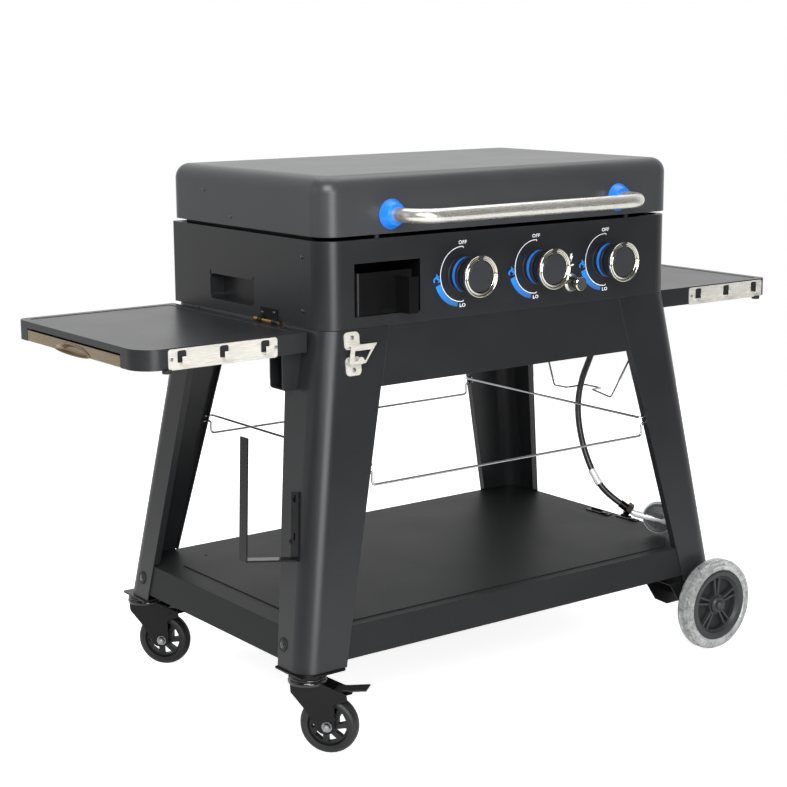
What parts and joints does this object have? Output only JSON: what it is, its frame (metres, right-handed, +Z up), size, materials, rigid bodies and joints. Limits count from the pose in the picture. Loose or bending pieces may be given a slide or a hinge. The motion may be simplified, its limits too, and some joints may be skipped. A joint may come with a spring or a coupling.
{
  "type": "outdoor gas griddle station",
  "caption": "Wheeled outdoor gas griddle with a hinged lid, dial valves, fold-down side shelves, splayed legs, bottom shelf, casters and big wheels.",
  "frame": {"origin": "on the floor under the middle of the griddle head, which is the middle of the footprint", "axes": "+Z up, +X to the right of the cook who faces the knobs, +Y from the front to the back"},
  "size_m": [1.4544, 0.7264, 0.965],
  "materials": {
    "aluminium": "die-cast aluminium",
    "blue": "blue anodised or moulded collar",
    "brass": "brass",
    "cast_black": "seasoned cold-rolled griddle steel",
    "caster_tyre": "black moulded caster wheel",
    "chrome_ring": "bright chrome plate",
    "galvanised": "galvanised burner steel",
    "hose": "black gas hose",
    "hub": "dark grey moulded wheel",
    "knob_plastic": "dark moulded plastic with a bright front ring",
    "powder_coat": "satin black powder-coated steel sheet",
    "regulator": "grey painted die-cast regulator",
    "stainless": "brushed stainless steel",
    "tyre": "smoky translucent moulded tyre",
    "wire": "bright plated steel wire",
    "zinc": "bright zinc plated steel"
  },
  "bodies": {
    "station": {"head_front_panel": "powder_coat", "head_wrap": "powder_coat", "head_floor": "galvanised", "griddle_plate": "cast_black", "body_hinge_leaves": "powder_coat", "valves": "aluminium", "knob_bezels": "blue", "igniter_body": "chrome_ring", "cup_housing": "powder_coat", "gas_manifold": "galvanised", "burners": "galvanised", "lock_brackets": "powder_coat", "leg_front_left": "powder_coat", "leg_front_right": "powder_coat", "leg_rear_left": "powder_coat", "leg_rear_right": "powder_coat", "apron_front": "powder_coat", "cart_rails": "powder_coat", "bottom_shelf": "powder_coat", "shelf_brackets": "powder_coat", "wire_rails": "wire", "tank_hanger": "wire", "bottle_opener": "stainless", "towel_post": "powder_coat", "caster_plates": "powder_coat", "axle_brackets": "powder_coat", "wheel_axles": "zinc", "gas_hose": "hose", "inlet_fitting": "brass", "regulator_nut": "brass", "regulator": "regulator"},
    "lid": {"lid_shell": "powder_coat", "lid_handle": "stainless", "lid_handle_bezels": "blue", "lid_hinge_leaves": "powder_coat"},
    "stem_1": {"stem_1": "brass"},
    "stem_2": {"stem_2": "brass"},
    "stem_3": {"stem_3": "brass"},
    "knob_1": {"knob_1": "knob_plastic"},
    "knob_2": {"knob_2": "knob_plastic"},
    "knob_3": {"knob_3": "knob_plastic"},
    "igniter": {"igniter_button": "chrome_ring"},
    "cup": {"grease_cup": "powder_coat"},
    "lock_left": {"lock_pin_left": "brass"},
    "lock_right": {"lock_pin_right": "brass"},
    "shelf_left": {"side_shelf_left": "powder_coat", "hook_strip_left": "stainless"},
    "shelf_right": {"side_shelf_right": "powder_coat", "hook_strip_right": "stainless"},
    "board": {"pull_board": "stainless"},
    "caster_front": {"caster_fork_front": "powder_coat"},
    "caster_rear": {"caster_fork_rear": "powder_coat"},
    "caster_wheel_front": {"caster_wheel_front": "caster_tyre"},
    "caster_wheel_rear": {"caster_wheel_rear": "caster_tyre"},
    "pedal_front": {"brake_pedal_front": "powder_coat"},
    "pedal_rear": {"brake_pedal_rear": "powder_coat"},
    "wheel_front": {"wheel_hub_front": "hub", "wheel_tyre_front": "tyre"},
    "wheel_rear": {"wheel_hub_rear": "hub", "wheel_tyre_rear": "tyre"}
  },
  "joints": [
    {"name": "lid_hinge", "type": "hinge", "parent": "station", "child": "lid", "pos_m": [0, 0.2544, 0.86105], "axis": [-1, 0, 0], "range_deg": [0, 95]},
    {"name": "valve_turn_1", "type": "hinge", "parent": "station", "child": "stem_1", "pos_m": [-0.1084, -0.27, 0.783], "axis": [0, -1, 0], "range_deg": [0, 180]},
    {"name": "knob_push_1", "type": "slide", "parent": "stem_1", "child": "knob_1", "axis": [0, 1, 0], "range_m": [0, 0.003], "stiffness_N_per_m": 1500, "springref_m": -0.001},
    {"name": "valve_turn_2", "type": "hinge", "parent": "station", "child": "stem_2", "pos_m": [0.0615, -0.27, 0.783], "axis": [0, -1, 0], "range_deg": [0, 180]},
    {"name": "knob_push_2", "type": "slide", "parent": "stem_2", "child": "knob_2", "axis": [0, 1, 0], "range_m": [0, 0.003], "stiffness_N_per_m": 1500, "springref_m": -0.001},
    {"name": "valve_turn_3", "type": "hinge", "parent": "station", "child": "stem_3", "pos_m": [0.232, -0.27, 0.783], "axis": [0, -1, 0], "range_deg": [0, 180]},
    {"name": "knob_push_3", "type": "slide", "parent": "stem_3", "child": "knob_3", "axis": [0, 1, 0], "range_m": [0, 0.003], "stiffness_N_per_m": 1500, "springref_m": -0.001},
    {"name": "igniter_push", "type": "slide", "parent": "station", "child": "igniter", "axis": [0, 1, 0], "range_m": [0, 0.005], "stiffness_N_per_m": 900, "springref_m": -0.001},
    {"name": "cup_slide", "type": "slide", "parent": "station", "child": "cup", "axis": [0, -1, 0], "range_m": [0, 0.12]},
    {"name": "lock_slide_left", "type": "slide", "parent": "station", "child": "lock_left", "axis": [0, 1, 0], "range_m": [0, 0.008]},
    {"name": "lock_slide_right", "type": "slide", "parent": "station", "child": "lock_right", "axis": [0, 1, 0], "range_m": [0, 0.008]},
    {"name": "shelf_fold_left", "type": "hinge", "parent": "station", "child": "shelf_left", "pos_m": [-0.431, 0, 0.677], "axis": [0, -1, 0], "range_deg": [0, 82]},
    {"name": "shelf_fold_right", "type": "hinge", "parent": "station", "child": "shelf_right", "pos_m": [0.431, 0, 0.677], "axis": [0, 1, 0], "range_deg": [0, 82]},
    {"name": "board_slide", "type": "slide", "parent": "shelf_left", "child": "board", "axis": [-1, 0, 0], "range_m": [0, 0.19]},
    {"name": "swivel_front", "type": "hinge", "parent": "station", "child": "caster_front", "pos_m": [-0.4673, -0.2812, 0.125], "axis": [0, 0, 1], "continuous": true},
    {"name": "caster_spin_front", "type": "hinge", "parent": "caster_front", "child": "caster_wheel_front", "pos_m": [-0.44287, -0.31031, 0.051], "axis": [0.766, 0.6428, 0], "continuous": true},
    {"name": "brake_front", "type": "hinge", "parent": "caster_front", "child": "pedal_front", "pos_m": [-0.4313, -0.3241, 0.106], "axis": [0.766, 0.6428, 0], "range_deg": [0, 12]},
    {"name": "swivel_rear", "type": "hinge", "parent": "station", "child": "caster_rear", "pos_m": [-0.4673, 0.2812, 0.125], "axis": [0, 0, 1], "continuous": true},
    {"name": "caster_spin_rear", "type": "hinge", "parent": "caster_rear", "child": "caster_wheel_rear", "pos_m": [-0.44287, 0.25209, 0.051], "axis": [0.766, 0.6428, 0], "continuous": true},
    {"name": "brake_rear", "type": "hinge", "parent": "caster_rear", "child": "pedal_rear", "pos_m": [-0.4313, 0.2383, 0.106], "axis": [0.766, 0.6428, 0], "range_deg": [0, 12]},
    {"name": "wheel_spin_front", "type": "hinge", "parent": "station", "child": "wheel_front", "pos_m": [0.466, -0.3304, 0.09], "axis": [0, 1, 0], "continuous": true},
    {"name": "wheel_spin_rear", "type": "hinge", "parent": "station", "child": "wheel_rear", "pos_m": [0.466, 0.3304, 0.09], "axis": [0, 1, 0], "continuous": true}
  ]
}
